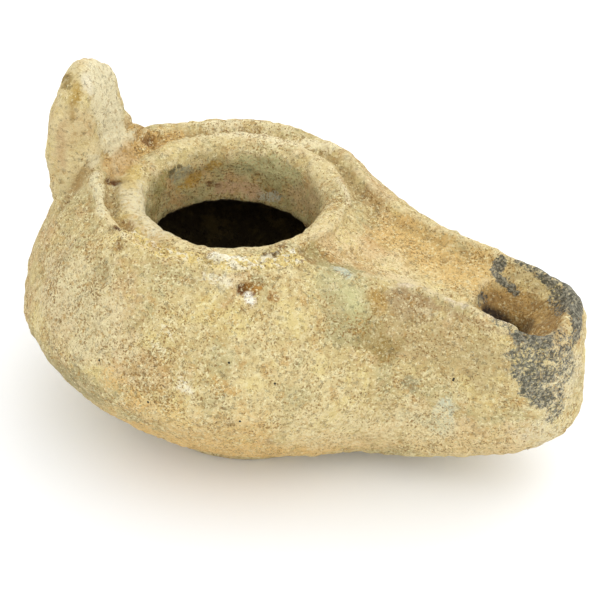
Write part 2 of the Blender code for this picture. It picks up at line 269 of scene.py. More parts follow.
# Stains on the clay, and painted shade below the channel's near edge: start, end, width, colour, strength,
# tear and softness
BROAD_STAINS_AND_SHADE = (
    ("orange lower edge", (-8.0, -28.0, 6.0), (24.0, -20.0, 5.0), 8.0, (228, 188, 116), 0.7, 0.6, 0.5),
    ("orange lower spout", (24.0, -18.0, 8.0), (44.0, -8.0, 12.0), 5.0, (230, 202, 146), 0.6, 0.6, 0.5),
    ("orange channel", (22.0, 4.0, 34.0), (35.0, 3.0, 32.0), 5.0, (222, 184, 114), 0.65, 0.5, 0.5),
    ("pale channel edge", (27.0, -5.0, 34.5), (37.0, -5.5, 33.0), 2.4, (230, 212, 170), 0.65, 0.5, 0.4),
    ("brown by the collar", (14.0, -9.0, 36.5), (20.0, -4.0, 35.5), 3.0, (190, 148, 82), 0.6, 0.8, 0.4),
    ("brown far rim", (15.0, 11.0, 37.0), (19.0, 10.0, 36.5), 1.2, (172, 134, 76), 0.5, 0.7, 0.4),
    ("olive left", (22.0, -15.2, 30.4), (25.5, -14.2, 28.2), 2.2, (170, 150, 92), 0.7, 0.8, 0.35),
    ("olive", (24.2, -13.7, 31.0), (27.6, -13.2, 27.4), 2.4, (154, 130, 68), 0.9, 0.8, 0.25),
    ("green field", (18.0, -11.0, 36.2), (22.5, -13.4, 31.5), 4.0, (192, 182, 132), 0.75, 0.7, 0.5),
    ("tan side", (29.0, -12.0, 30.5), (41.0, -10.0, 26.0), 5.0, (190, 168, 116), 0.6, 0.6, 0.5),
    ("olive by the channel", (14.0, -7.9, 36.6), (20.0, -9.0, 36.0), 2.0, (172, 160, 108), 0.85, 0.8, 0.4),
    ("bluish", (17.6, -8.8, 36.6), (20.2, -10.4, 35.8), 0.9, (196, 204, 184), 0.8, 0.9, 0.35),
    ("pale green", (20.4, -12.4, 35.4), (23.0, -13.8, 32.0), 1.5, (202, 196, 140), 0.45, 0.8, 0.5),
    ("yellow green", (22.0, -12.8, 34.0), (22.4, -13.4, 32.8), 0.9, (208, 204, 146), 0.45, 0.9, 0.5),
    ("grey below", (19.5, -14.5, 33.0), (22.0, -15.6, 29.0), 1.6, (180, 166, 116), 0.5, 1.0, 0.4),
    ("pale low", (36.4, -10.9, 17.6), (36.0, -11.0, 13.4), 1.7, (206, 206, 176), 0.85, 0.9, 0.35),
    ("pale low left", (30.5, -12.8, 14.6), (35.0, -11.2, 13.8), 1.3, (202, 200, 160), 0.7, 0.9, 0.35),
    ("grey", (31.0, -12.2, 20.8), (31.4, -12.2, 20.0), 1.4, (162, 154, 116), 0.7, 0.6, 0.3),
    ("brown swirl low", (27.2, -14.4, 17.2), (28.6, -13.6, 16.8), 0.9, (178, 152, 92), 0.6, 0.9, 0.4),
    # Painted shade below the channel's raised near edge
    ("painted shade below the rim", (27.5, -9.8, 33.5), (32.0, -9.5, 32.5), 2.2, (178, 154, 112), 0.7, 0.6, 0.4),
    ("shade below the edge", (27.5, -9.2, 34.2), (44.0, -8.6, 31.4), 0.7, (166, 138, 96), 0.55, 0.7, 0.4),
    ("olive high", (24.6, -11.0, 34.4), (25.8, -12.0, 32.8), 1.2, (182, 144, 72), 0.75, 1.0, 0.35),
    ("pale end", (52.0, -3.0, 24.0), (49.5, -6.0, 15.0), 4.0, (226, 214, 180), 0.5, 0.8, 0.4),
    ("pale left", (-20.0, -21.0, 28.0), (-12.0, -26.0, 27.0), 7.0, (230, 214, 168), 0.6, 0.6, 0.5),
    ("lower left", (-26.0, -20.0, 16.0), (-13.0, -28.5, 18.0), 3.5, (162, 148, 102), 0.75, 0.6, 0.5),
    ("orange low band", (-2.0, -31.0, 17.5), (12.0, -27.0, 16.0), 4.0, (224, 186, 118), 0.5, 0.7, 0.5),
    ("grey dent", (-15.2, -20.9, 35.6), (-13.8, -22.8, 34.0), 1.4, (176, 162, 114), 0.6, 0.7, 0.4),
)

# Small marks with sharp torn edges
SPOTS = (
    ("rust", (7.2, -19.7, 36.0), (8.8, -20.0, 35.7), 0.8, (112, 70, 24), 1.0, 0.9, 0.35),
    ("ochre by the rust", (8.5, -19.4, 36.2), (9.6, -18.8, 36.5), 0.7, (176, 126, 50), 0.75, 1.1, 0.4),
    ("grey green by the rust", (8.8, -18.3, 37.2), (9.4, -18.2, 36.9), 0.7, (184, 174, 130), 0.7, 0.9, 0.35),
    ("brown by the rust", (11.4, -18.6, 35.0), (12.2, -18.4, 34.6), 0.6, (166, 124, 66), 0.7, 1.1, 0.4),
    ("white by the rust", (8.8, -20.8, 35.5), (9.7, -20.8, 35.0), 0.7, (250, 246, 228), 0.95, 0.9, 0.3),
    ("white", (2.6, -20.8, 37.4), (5.4, -20.6, 37.2), 1.2, (238, 228, 194), 0.65, 1.1, 0.4),
    ("low white", (2.4, -29.4, 24.0), (3.4, -29.2, 23.2), 0.9, (242, 232, 200), 0.7, 1.2, 0.4),
    ("white left", (-2.6, -28.2, 28.6), (-1.6, -28.2, 28.2), 0.9, (238, 230, 190), 0.65, 1.2, 0.4),
    ("white above", (-1.4, -27.0, 30.8), (-0.4, -27.1, 30.2), 0.7, (240, 230, 192), 0.6, 1.2, 0.4),
    ("olive granular", (24.4, -14.0, 30.4), (27.6, -13.3, 27.8), 1.9, (150, 122, 58), 0.42, 1.1, 0.45),
    ("ochre on the shoulder", (3.4, -23.4, 35.0), (4.6, -23.6, 33.6), 1.2, (200, 164, 92), 0.4, 1.1, 0.45),
    ("orange blotch", (7.2, -27.8, 24.2), (9.2, -27.2, 23.2), 1.2, (206, 166, 98), 0.6, 1.0, 0.35),
    ("dark groove end", (-15.4, -15.6, 38.0), (-12.6, -17.2, 38.2), 0.35, (104, 68, 32), 0.85, 0.4, 0.3),
    ("brown grains, collar", (14.6, -4.0, 36.6), (16.2, -6.6, 35.6), 1.2, (184, 142, 78), 0.7, 1.1, 0.35),
    ("brown grains, channel", (18.6, 0.6, 34.6), (21.5, -0.2, 33.8), 1.6, (198, 154, 92), 0.6, 1.1, 0.4),
    ("brown crater", (-12.5, -19.4, 37.5), (-12.1, -19.8, 37.3), 0.8, (138, 102, 52), 0.65, 1.2, 0.4),
    ("brown crust", (9.4, -12.2, 38.0), (9.7, -10.6, 37.9), 1.3, (104, 76, 32), 0.9, 1.2, 0.45),
    ("white crust, left", (1.1, -16.6, 38.0), (3.3, -17.0, 38.2), 0.7, (252, 246, 220), 0.75, 1.2, 0.4),
    ("white crust, middle", (4.9, -16.0, 38.2), (6.2, -16.0, 38.1), 0.6, (252, 246, 220), 0.7, 1.2, 0.4),
    ("white crust, right", (8.4, -14.3, 38.0), (9.2, -13.2, 37.8), 0.5, (250, 240, 208), 0.65, 1.2, 0.35),
    ("ochre crust", (-7.4, -17.3, 37.8), (-3.6, -17.0, 37.7), 0.9, (172, 132, 60), 0.5, 1.3, 0.4),
    ("brown crust, left", (-14.8, -13.2, 37.4), (-12.4, -14.6, 37.6), 0.9, (160, 116, 60), 0.5, 1.2, 0.5),
    ("brown line", (9.9, 10.8, 38.0), (13.0, 8.2, 37.4), 0.6, (190, 150, 96), 0.6, 0.9, 0.4),
    ("pale line, far", (10.4, 9.5, 38.5), (12.7, 7.3, 38.3), 0.4, (232, 216, 174), 0.8, 0.4, 0.4),
    ("pale line, near", (12.7, 7.3, 38.3), (14.2, 4.4, 37.7), 0.4, (232, 216, 174), 0.8, 0.4, 0.4),
    ("pale edge", (27.0, -8.0, 35.2), (44.0, -7.3, 32.4), 0.5, (232, 214, 182), 0.6, 0.7, 0.4),
    ("orange left", (-8.6, -29.4, 21.6), (-4.8, -30.4, 19.6), 2.1, (224, 184, 112), 0.5, 0.9, 0.5),
    ("handle pale", (-24.4, 1.0, 51.5), (-23.0, 1.0, 43.0), 4.6, (234, 222, 182), 0.85, 0.4, 0.4),
    ("handle left", (-26.5, -6.0, 46.0), (-25.5, -7.5, 38.0), 4.5, (210, 190, 140), 0.55, 0.5, 0.5),
    ("pale lip", (-17.5, -4.5, 38.2), (-9.0, -13.8, 38.2), 3.0, (224, 212, 174), 0.6, 0.6, 0.5),
    ("pale channel start", (14.0, -3.0, 35.5), (24.0, -2.0, 34.0), 4.0, (232, 210, 160), 0.5, 0.6, 0.5),
    # Pale clay on the far ridge, made paler still as painted light on its top
    ("pale far ridge, painted light", (-14.0, 15.5, 39.0), (4.0, 18.4, 38.6), 2.2, (242, 228, 184), 0.85, 0.6, 0.5),
    ("pale lower spout", (18.0, -20.0, 14.0), (34.0, -12.5, 13.0), 5.0, (230, 212, 162), 0.55, 0.7, 0.5),
    ("handle yellow", (-27.6, -4.0, 52.8), (-26.4, -4.6, 51.4), 2.0, (204, 182, 122), 0.6, 0.9, 0.5),
    ("handle dark", (-28.1, -3.4, 53.5), (-27.8, -4.6, 52.2), 0.7, (130, 104, 50), 0.7, 1.0, 0.4),
    ("handle white", (-25.6, -2.6, 53.0), (-25.0, -3.0, 51.8), 0.9, (240, 230, 200), 0.6, 1.0, 0.4),
    ("handle ochre", (-26.0, -4.5, 52.4), (-25.8, -5.0, 51.0), 1.1, (178, 144, 68), 0.85, 0.9, 0.4),
    ("handle stroke", (-26.0, -5.7, 50.6), (-25.9, -6.6, 48.4), 0.5, (170, 140, 82), 0.75, 0.9, 0.4),
    ("handle side", (-27.6, -7.1, 47.8), (-27.3, -7.8, 45.6), 0.8, (194, 160, 112), 0.6, 1.0, 0.5),
    ("handle side low", (-27.2, -8.3, 44.2), (-27.0, -8.7, 41.6), 1.0, (196, 164, 116), 0.6, 1.0, 0.5),
    ("seam", (-23.6, -6.2, 41.2), (-24.6, -8.7, 38.2), 0.9, (176, 144, 88), 0.6, 0.8, 0.4),
    ("seam low", (-24.6, -8.8, 38.0), (-26.4, -10.6, 35.2), 0.9, (176, 144, 90), 0.55, 0.8, 0.4),
    # Painted highlight along the ridge's crest, and painted shade on the groove's outer wall below it
    ("painted highlight, ridge high", (-22.6, -6.6, 41.8), (-21.6, -8.6, 40.6), 1.0, (236, 224, 184), 0.75, 0.6, 0.4),
    ("painted highlight on the ridge", (-21.6, -8.6, 40.6), (-17.4, -14.4, 38.8), 0.9, (234, 222, 180), 0.65, 0.6, 0.4),
    ("ridge shade", (-20.8, -6.8, 38.6), (-17.4, -12.0, 36.8), 0.7, (158, 130, 78), 0.6, 0.7, 0.4),
    ("heap", (-21.2, -4.0, 38.9), (-21.3, 2.0, 39.1), 1.9, (200, 160, 100), 0.35, 0.7, 0.25),
    ("under the heap", (-21.2, -5.5, 38.2), (-20.4, -5.1, 37.5), 0.5, (98, 62, 28), 1.0, 0.2, 0.3),
    ("under the heap, right", (-20.4, -5.1, 37.5), (-19.7, -4.1, 37.7), 0.5, (98, 62, 28), 1.0, 0.2, 0.3),
    ("dark soil", (-21.4, 6.8, 39.4), (-18.6, 9.0, 38.2), 1.6, (176, 130, 66), 0.35, 0.9, 0.4),
    ("hole in the soil", (-20.7, 6.6, 38.4), (-20.1, 7.6, 38.2), 0.8, (112, 76, 32), 0.75, 0.9, 0.4),
    ("yellow on the lip", (-18.0, -4.5, 38.2), (-18.2, -1.0, 38.2), 1.3, (206, 176, 92), 0.6, 0.9, 0.4),
)

# Marks inside the bore
BORE_SPOTS = (
    ("olive left", (-15.7, 1.8, 34.4), (-15.8, -1.0, 31.0), 2.2, (166, 152, 88), 0.6, 1.0, 0.5),
    ("grey", (-14.8, 5.0, 33.8), (-13.6, 7.2, 34.6), 1.2, (168, 162, 128), 0.6, 1.0, 0.5),
    ("ochre", (-14.4, 5.8, 31.8), (-12.4, 8.7, 33.2), 0.9, (180, 140, 54), 0.75, 1.3, 0.4),
    ("ochre high", (-11.6, 9.6, 34.2), (-10.2, 10.6, 34.8), 0.9, (186, 148, 68), 0.7, 1.0, 0.4),
    ("pink", (-9.9, 10.9, 30.4), (-4.6, 12.8, 29.8), 1.3, (210, 174, 130), 0.8, 1.0, 0.4),
    ("pink high", (-8.6, 11.6, 32.4), (-6.6, 12.3, 32.0), 0.8, (206, 168, 120), 0.6, 1.0, 0.4),
    ("brown swirl", (-11.2, 9.9, 31.2), (-10.0, 10.8, 30.8), 0.7, (128, 92, 46), 0.85, 1.0, 0.4),
    ("green", (-6.3, 12.5, 34.4), (1.8, 12.2, 34.8), 2.0, (204, 198, 142), 0.7, 1.0, 0.5),
    ("pale foot", (-3.4, 12.9, 29.4), (-1.2, 12.9, 30.0), 0.9, (192, 188, 160), 0.7, 1.0, 0.4),
    # Brownish pink on the bore's right wall, laid lighter as painted light against the shade there
    ("brownish pink right, painted light", (2.8, 11.8, 31.6), (7.0, 9.0, 33.0), 1.9, (210, 182, 130), 0.7, 1.0, 0.5),
    ("dark spot", (-15.1, 4.2, 35.2), (-14.0, 6.4, 36.2), 0.5, (84, 76, 44), 0.65, 1.3, 0.4),
    ("dark specks", (-13.0, 8.0, 36.0), (-10.6, 10.0, 36.2), 0.7, (96, 88, 54), 0.6, 1.2, 0.4),
)

# Brown dirt down the slope of the wick hole: start, end and width
SLOPE_DIRT = ((41.0, 1.0, 27.5), (47.5, 0.0, 27.0), 5.2)

# The dark foot of the wick hole, and the brown along its near edge, both painted shade: start, end and width
WICK_DEPTH = ((37.8, 0.0, 27.2), (40.2, 2.6, 24.6), 1.6)
WICK_BROWN = ((39.4, 1.2, 25.6), (44.8, 0.4, 25.6), 2.0)
WICK_DEPTH_EDGE = (1.3, 0.6)
WICK_BROWN_EDGE = (1.3, 0.3)
WICK_BROWN_SHARE = 0.6

# Where the clay is rubbed clean: start, end and width
RUBBED = (
    ((-24.4, 0.0, 53.0), (-23.0, 0.0, 43.0), 6.0),
    ((-18.0, -4.0, 38.2), (-9.0, -14.0, 38.2), 3.0),
    ((27.0, -6.0, 34.8), (37.0, -6.0, 33.0), 2.6),
    ((-27.2, -6.5, 48.0), (-26.6, -8.6, 40.0), 3.0),
)
RUBBED_EDGE = (1.2, 0.7)

# Where more grain shows, mostly dark, as painted shade of small pits in raking light: middle, reach and how
# much
PIT_SHADE_GRAIN = (
    ((-20.0, -19.0, 30.0), 16.0, 0.45),
    ((-4.0, -28.5, 22.0), 12.0, 0.3),
)

# Small black holes in the surface, and their reach
PINHOLES = (
    (14.6, -23.9, 23.8),
    (37.1, -10.7, 22.4),
    (37.2, -10.7, 22.68),
    (-10.8, -29.3, 23.9),
    (8.3, -26.1, 27.2),
    (10.7, -27.5, 18.2),
    (-2.3, -30.9, 20.1),
)
PINHOLE_REACH = 0.22
PINHOLE_CORE = 0.6

# Soot: start, end, width and how thick it lies
SOOT = (
    ("hook top", (37.7, 6.9, 32.4), (37.5, 6.0, 31.9), 1.0, 0.95),
    ("hook", (37.2, 5.4, 31.6), (38.1, 4.9, 30.6), 0.8, 0.95),
    ("hook foot", (38.1, 4.9, 30.8), (41.2, 5.7, 28.4), 0.75, 0.95),
    ("far rim", (40.8, 7.6, 32.9), (44.4, 7.4, 32.4), 1.1, 0.7),
    ("far corner", (44.4, 7.8, 32.3), (48.8, 5.8, 31.4), 1.9, 0.85),
    ("end rim", (48.8, 5.6, 31.4), (51.8, 1.0, 30.8), 1.9, 0.95),
    ("end rim low", (51.6, 1.0, 30.6), (52.6, -1.5, 29.0), 1.5, 0.75),
    ("end wall", (47.0, 4.6, 29.6), (49.2, 1.4, 30.4), 1.3, 0.7),
    ("left of the hole", (37.1, -0.7, 29.9), (37.3, 1.2, 29.4), 1.0, 0.7),
    ("near rim", (41.8, -7.8, 32.7), (45.5, -7.8, 31.6), 0.8, 0.55),
    ("near corner", (46.0, -7.8, 31.4), (49.3, -6.9, 30.4), 1.5, 0.9),
    ("thin specks", (44.5, -9.0, 30.2), (44.5, -9.3, 27.4), 2.0, 0.3),
    ("near side", (46.4, -8.7, 28.4), (51.4, -5.8, 27.0), 2.5, 0.68),
    ("near side middle", (46.8, -8.8, 25.6), (50.0, -7.4, 24.0), 2.0, 0.75),
    ("near side low", (48.4, -8.4, 22.2), (50.2, -7.6, 20.4), 1.9, 0.75),
    ("near side right", (51.2, -6.4, 22.0), (51.8, -6.0, 17.6), 2.0, 0.62),
    ("end thin", (50.8, -5.2, 30.4), (52.3, -4.2, 24.0), 2.3, 0.56),
    ("near corner right", (50.4, -6.0, 29.6), (52.4, -3.4, 28.4), 1.5, 0.52),
)
SOOT_TEAR = 0.35
SOOT_EDGE = (1.3, 0.7)

# Bare streaks through the soot: start, end and width
SOOT_GAPS = (
    ((47.6, -8.6, 27.2), (50.4, -7.0, 26.8), 0.45),
    ((50.0, -7.7, 22.8), (51.8, -6.0, 23.4), 0.5),
    ((44.6, 7.0, 32.3), (47.6, 5.4, 31.7), 0.4),
    ((43.0, -9.3, 29.6), (46.0, -8.9, 29.4), 0.5),
)
SOOT_GAP_EDGE = (1.3, 0.5)
SOOT_GAP_STRENGTH = 0.75

# How dull the clay is, and how deep its grain
CLAY_ROUGHNESS = 0.92
GRAIN_DEPTH = 0.5

# Colours of the clay and of what lies on it, and of the painted shade inside and in the wick hole, as they
# look, from 0 to 255
TONES = {
    "buff": (202, 180, 120),
    "pale buff": (221, 201, 146),
    "green buff": (184, 173, 124),
    "brown buff": (198, 156, 90),
    "cream": (236, 222, 172),
    "pink buff": (216, 178, 132),
    "yellow buff": (232, 212, 140),
    "dirt": (156, 126, 74),
    "crest tone": (230, 212, 166),
    "soil": (210, 170, 100),
    "dark soil": (124, 84, 22),
    "pale soil": (240, 212, 146),
    "lime": (230, 206, 132),
    "white lime": (255, 250, 226),
    "dark in the lime": (124, 90, 28),
    "bore": (190, 178, 122),
    "tan bore": (204, 174, 114),
    "green bore": (160, 150, 94),
    "brown bore": (190, 146, 88),
    "pale bore": (226, 210, 160),
    "dark bore": (98, 78, 26),
    "slope": (192, 152, 84),
    "brown slope": (136, 98, 44),
    "dark slope": (96, 66, 30),
    "tan grain": (168, 134, 76),
    "cream grain": (240, 228, 182),
    "brown grain": (132, 96, 38),
    "pale grain": (246, 236, 186),
    "ochre grain": (192, 152, 84),
    "dark grain": (88, 62, 24),
    "pinhole": (24, 18, 10),
    "soot": (52, 58, 56),
    "dusty soot": (150, 146, 128),
    "smoky shade": (58, 46, 20),
    "thin smoky shade": (96, 80, 40),
    "wick hole shade": (38, 22, 9),
}


def skin_of(node, name):
    """A copy of a solid's mesh, drawn over with small even faces."""
    piece = bpy.data.objects.new(name, node.data.copy())
    bpy.context.scene.collection.objects.link(piece)
    shell = bmesh.new()
    shell.from_mesh(piece.data)
    bmesh.ops.remove_doubles(shell, verts=shell.verts, dist=WELD_DISTANCE * MM)
    shell.to_mesh(piece.data)
    shell.free()
    remesh = piece.modifiers.new("even skin", "REMESH")
    remesh.mode = "VOXEL"
    remesh.voxel_size = SKIN_STEP * MM
    remesh.use_smooth_shade = True
    view = bpy.context.evaluated_depsgraph_get()
    skin = bpy.data.meshes.new_from_object(piece.evaluated_get(view))
    piece.modifiers.clear()
    piece.data = skin
    return piece


def read(mesh, name):
    """The places or the normals of a mesh's vertices."""
    values = np.empty(len(mesh.vertices) * 3)
    mesh.vertices.foreach_get(name, values)
    return values.reshape(-1, 3)


def write_points(mesh, points):
    mesh.vertices.foreach_set("co", (points * MM).ravel())
    mesh.update()


def edge_ends(mesh):
    ends = np.empty(len(mesh.edges) * 2, dtype=np.int64)
    mesh.edges.foreach_get("vertices", ends)
    return ends.reshape(-1, 2)


def evened(values, ends, rounds):
    """Values moved towards the mean of their neighbours, a number of rounds."""
    count = len(values)
    shares = np.bincount(ends.ravel(), minlength=count)
    columns = values.reshape(count, -1)
    for _ in range(rounds):
        sums = np.empty_like(columns)
        for axis in range(columns.shape[1]):
            from_first = np.bincount(ends[:, 1], weights=columns[ends[:, 0], axis], minlength=count)
            from_second = np.bincount(ends[:, 0], weights=columns[ends[:, 1], axis], minlength=count)
            sums[:, axis] = from_first + from_second
        columns = 0.5 * columns + 0.5 * sums / shares[:, None]
    return columns.reshape(values.shape)


def waves(points, size, seed):
    """Smooth noise from -1 to 1 with lumps of a given size."""
    offset = Vector([seed * shift for shift in NOISE_SHIFT])
    return np.array([noise.noise(Vector(point) / size + offset) for point in points])


def hump(points, middle, reach):
    """One at a place, falling smoothly to nothing at its reach."""
    far = np.linalg.norm(points - np.array(middle), axis=1) / reach
    return np.where(far < 1.0, (1.0 - far**2) ** 2, 0.0)


def smooth_step(value, low, high):
    """Nought up to one limit, one from the other, and smooth between them, in either direction."""
    share = np.clip((value - low) / (high - low), 0.0, 1.0)
    return share * share * (3.0 - 2.0 * share)


def away_from(points, start, end, width):
    """How far each point is from the way between two places, in widths of the mark."""
    start = np.array(start)
    way = np.array(end) - start
    off = points - start
    share = np.clip(off @ way / max(way @ way, 0.0001), 0.0, 1.0)
    return np.linalg.norm(off - share[:, None] * way, axis=1) / width


def round_the_mouth(points):
    """Each point's place ahead of the filling hole's middle, its distance, and its turn from the spout."""
    ahead = points[:, 0] - MOUTH_MIDDLE_X
    return ahead, np.hypot(ahead, points[:, 1]), np.degrees(np.arctan2(points[:, 1], ahead))


def in_the_hollow(mesh, points, normals):
    """One where the clay has walls round it on three sides or more, nought outside."""
    tree = BVHTree.FromPolygons([tuple(p) for p in points], [tuple(f.vertices) for f in mesh.polygons])
    top = np.where(points[:, 0] > SPOUT_INSIDE_START, SPOUT_INSIDE_TOP, INSIDE_TOP)
    deep = (points[:, 2] > INSIDE_FLOOR) & (points[:, 2] < top)
    sides = (Vector((1, 0, 0)), Vector((-1, 0, 0)), Vector((0, 1, 0)), Vector((0, -1, 0)))
    inside = np.zeros(len(points))
    for index in np.nonzero(deep)[0]:
        start = Vector(points[index]) + Vector(normals[index]) * INSIDE_START
        walls = sum(tree.ray_cast(start, side)[0] is not None for side in sides)
        inside[index] = float(walls >= INSIDE_WALLS)
    return inside


def softened_edges(points, ends):
    """The ridge worn down to a soft shoulder in places, and the lip of the filling hole worn round."""
    flowed = evened(points, ends, WORN_ROUNDS)
    ridge = np.max([hump(points, middle, reach) for middle, reach in WORN], axis=0)
    _, radius, _ = round_the_mouth(points)
    lip = smooth_step(np.abs(radius - BORE_RADIUS), *LIP_WEAR_REACH) * smooth_step(points[:, 2], *LIP_LEVEL)
    worn = np.maximum(np.clip(ridge * WORN_STRENGTH, 0.0, 1.0), LIP_WEAR * lip)[:, None]
    return points * (1.0 - worn) + flowed * worn


def lower_the_bore(points, ahead, radius):
    """Moves the bore's lower edge down and in, and gives how much each point belongs to it."""
    foot = smooth_step(points[:, 2], BORE_FOOT + BORE_FOOT_RISE, BORE_FOOT)
    foot *= smooth_step(points[:, 2], *(BORE_FOOT - below for below in BORE_FOOT_BELOW))
    foot *= smooth_step(radius, *(BORE_RADIUS + out for out in BORE_FOOT_ROUND))
    away = np.maximum(radius, 1.0)
    points[:, 0] -= ahead / away * foot * BORE_NARROWING * smooth_step(ahead, *BORE_BACK)
    points[:, 1] -= points[:, 1] / away * foot * BORE_NARROWING
    points[:, 2] -= foot * BORE_DROP
    return foot


def slope_the_wick_hole(points):
    """Leans the wick hole's far and end walls in, and wears its near wall and corner."""
    x, y, z = points.T
    low = smooth_step(z, *FUNNEL_LEVEL) * smooth_step(z, *FUNNEL_BOTTOM) * smooth_step(x, *FUNNEL_START)
    low *= smooth_step(np.abs(y), *FUNNEL_SIDES) * smooth_step(x, *FUNNEL_END)
    points[:, 0] -= FUNNEL_LEAN_ALONG * low * smooth_step(x, *FUNNEL_END_WALL)
    points[:, 1] -= FUNNEL_LEAN_ACROSS * low * smooth_step(y, *FUNNEL_FAR_WALL)
    near = smooth_step(x, *NEAR_START) * smooth_step(x, *NEAR_END) * smooth_step(z, *NEAR_LEVEL)
    points[:, 1] -= NEAR_WIDENING * near * smooth_step(y, *NEAR_OUTER_SIDE) * smooth_step(y, *NEAR_INNER_SIDE)
    points[:, 2] -= NEAR_CORNER_DROP * hump(points, NEAR_CORNER, NEAR_CORNER_REACH)


def raise_the_collar_line(points, radius, turn):
    """Lifts a thin line where the collar meets the channel."""
    along = smooth_step(np.abs(turn - COLLAR_LINE_MIDDLE), *COLLAR_LINE_ARC)
    line = np.clip(1.0 - np.abs(radius - COLLAR_LINE_RADIUS) / COLLAR_LINE_HALF_WIDTH, 0.0, 1.0)
    points[:, 2] += COLLAR_LINE_HEIGHT * along * line * smooth_step(points[:, 2], *COLLAR_LINE_LEVEL)


def smear_the_collar(points, radius, turn, ends):
    """Fills the corner between the collar and the channel with a slope of clay."""
    (start, end), (inner, outer) = SKIRT_ARC, SKIRT_REACH
    skirt = smooth_step(turn, start - SKIRT_SOFT_END, start + SKIRT_SOFT_END)
    skirt = skirt * smooth_step(turn, end + SKIRT_SOFT_END, end - SKIRT_SOFT_END)
    skirt *= smooth_step(radius, inner - SKIRT_INNER_BLEND, inner)
    skirt *= smooth_step(radius, outer + SKIRT_OUTER_BLEND, outer)
    lift = np.clip(SKIRT_LEVEL - SKIRT_FALL * (radius - inner) - points[:, 2], 0.0, SKIRT_LIMIT)
    skirt *= lift * smooth_step(points[:, 2], *SKIRT_START)
    points[:, 2] += evened(skirt, ends, SKIRT_ROUNDS)


def filled_groove(points):
    """How far each point of the groove rises with what lies in it, and how much of it is soil and crust."""
    _, radius, turn = round_the_mouth(points)
    turn = turn % 360.0
    z = points[:, 2]
    off = np.abs(radius - GROOVE_RADIUS)
    above = smooth_step(z, GROOVE_FLOOR - GROOVE_FLOOR_BLEND, GROOVE_FLOOR)
    across = smooth_step(off, GROOVE_HALF_WIDTH, GROOVE_HALF_WIDTH * GROOVE_FLAT) * above
    wide = smooth_step(off, GROOVE_HALF_WIDTH * CRUST_SPREAD, GROOVE_HALF_WIDTH * GROOVE_FLAT) * above
    rough = sum(share * waves(points, size, seed) for size, share, seed in ROUGH_FILL)
    outward = np.clip(radius - GROOVE_SLOPE_START, 0.0, GROOVE_SLOPE_REACH)
    rise = np.zeros(len(points))
    soil = np.zeros(len(points))
    crust = np.zeros(len(points))
    for start, end, level, slope, roughness, earth, lime in GROOVE_FILLS:
        along = smooth_step(turn, start - GROOVE_SOFT_END, start + GROOVE_SOFT_END)
        along = along * smooth_step(turn, end + GROOVE_SOFT_END, end - GROOVE_SOFT_END)
        surface = level + slope * outward + roughness * ROUGH_FILL_LIFT * rough
        lift = along * across * np.clip(surface - z, 0.0, GROOVE_FILL_LIMIT)
        rise = np.maximum(rise, lift)
        lying = np.clip(SOIL_COVER + SOIL_ROUGHNESS * rough + lift, 0.0, 1.0)
        soil = np.maximum(soil, earth * (along * across * lying))
        lying = np.clip(CRUST_COVER + CRUST_ROUGHNESS * rough + CRUST_LIFT * lift, 0.0, 1.0)
        crust = np.maximum(crust, lime * along * wide * lying)
    return rise, soil, crust


def scatter(points, allowed, count, reach, depth, seed):
    """Small round pits or crumbs at places drawn from the allowed points."""
    draw = np.random.default_rng(seed)
    places = draw.choice(np.nonzero(allowed)[0], count, replace=False)
    change = np.zeros(len(points))
    for place in places:
        size = draw.uniform(*reach)
        change += draw.uniform(*depth) * hump(points, points[place], size)
    return change


def roughened(points, normals, outside, dirt, bore_foot):
    """The points moved along their normals by lumps, grit, edges, dents, pits and crumbs."""
    relief = np.zeros(len(points))
    for seed, (size, height) in enumerate(LUMPS, 1):
        relief += height * waves(points, size, seed)
    for share, (size, height, seed) in ((dirt, GROOVE_GRIT), (bore_foot, BORE_GRIT)):
        relief += height * share * waves(points, size, seed)
    steps = [height * smooth_step(away_from(points, *way), 1.0, 0.0) for *way, height in EDGES]
    relief += np.maximum(np.max(steps, axis=0), 0.0) + np.minimum(np.min(steps, axis=0), 0.0)
    for middle, reach, depth in DENTS:
        relief -= depth * hump(points, middle, reach)
    relief -= scatter(points, outside, *PITS)
    relief += scatter(points, outside, *CRUMBS)
    standing = np.clip((points[:, 2] - FOOT_CLEARANCE) / FOOT_BLEND, 0.0, 1.0)
    underside = np.minimum(relief, 0.0) * UNDERSIDE_RELIEF
    relief = np.where(normals[:, 2] < UNDERSIDE_NORMAL, underside, relief * standing) - SKIN_SINK * standing
    low, high = np.array(solid_box) / MM
    return np.clip(points + normals * relief[:, None], low, high)


def tone(red, green, blue):
    """A colour given as it looks, from 0 to 255, as light values."""
    steps = np.array((red, green, blue)) / 255.0
    light = np.where(steps <= 0.04045, steps / 12.92, ((steps + 0.055) / 1.055) ** 2.4)
    return (*[float(value) for value in light], 1.0)


def keep(mesh, name, values):
    """Stores one number for each vertex, for the material."""
    attribute = mesh.attributes.new(name, "FLOAT", "POINT")
    attribute.data.foreach_set("value", np.asarray(values, dtype=np.float32))


def keep_marks(mesh, name, points, marks, torn):
    """Stores marks laid over each other: their colour everywhere, and how much they cover."""
    aways = [away_from(points, start, end, width) for _, start, end, width, *_ in marks]
    shades = np.array([tone(*mark[4])[:3] for mark in marks])
    colours = shades[np.argmin(aways, axis=0)]
    cover = np.zeros(len(points))
    for away, shade, (*_, strength, tear, softness) in zip(aways, shades, marks):
        mask = strength * smooth_step(away + tear * torn, 1.0 + softness, 1.0 - softness)
        colours = colours * (1.0 - mask[:, None]) + shade * mask[:, None]
        cover = cover * (1.0 - mask) + mask
    attribute = mesh.attributes.new(name, "FLOAT_COLOR", "POINT")
    attribute.data.foreach_set("color", np.column_stack((colours, cover)).astype(np.float32).ravel())


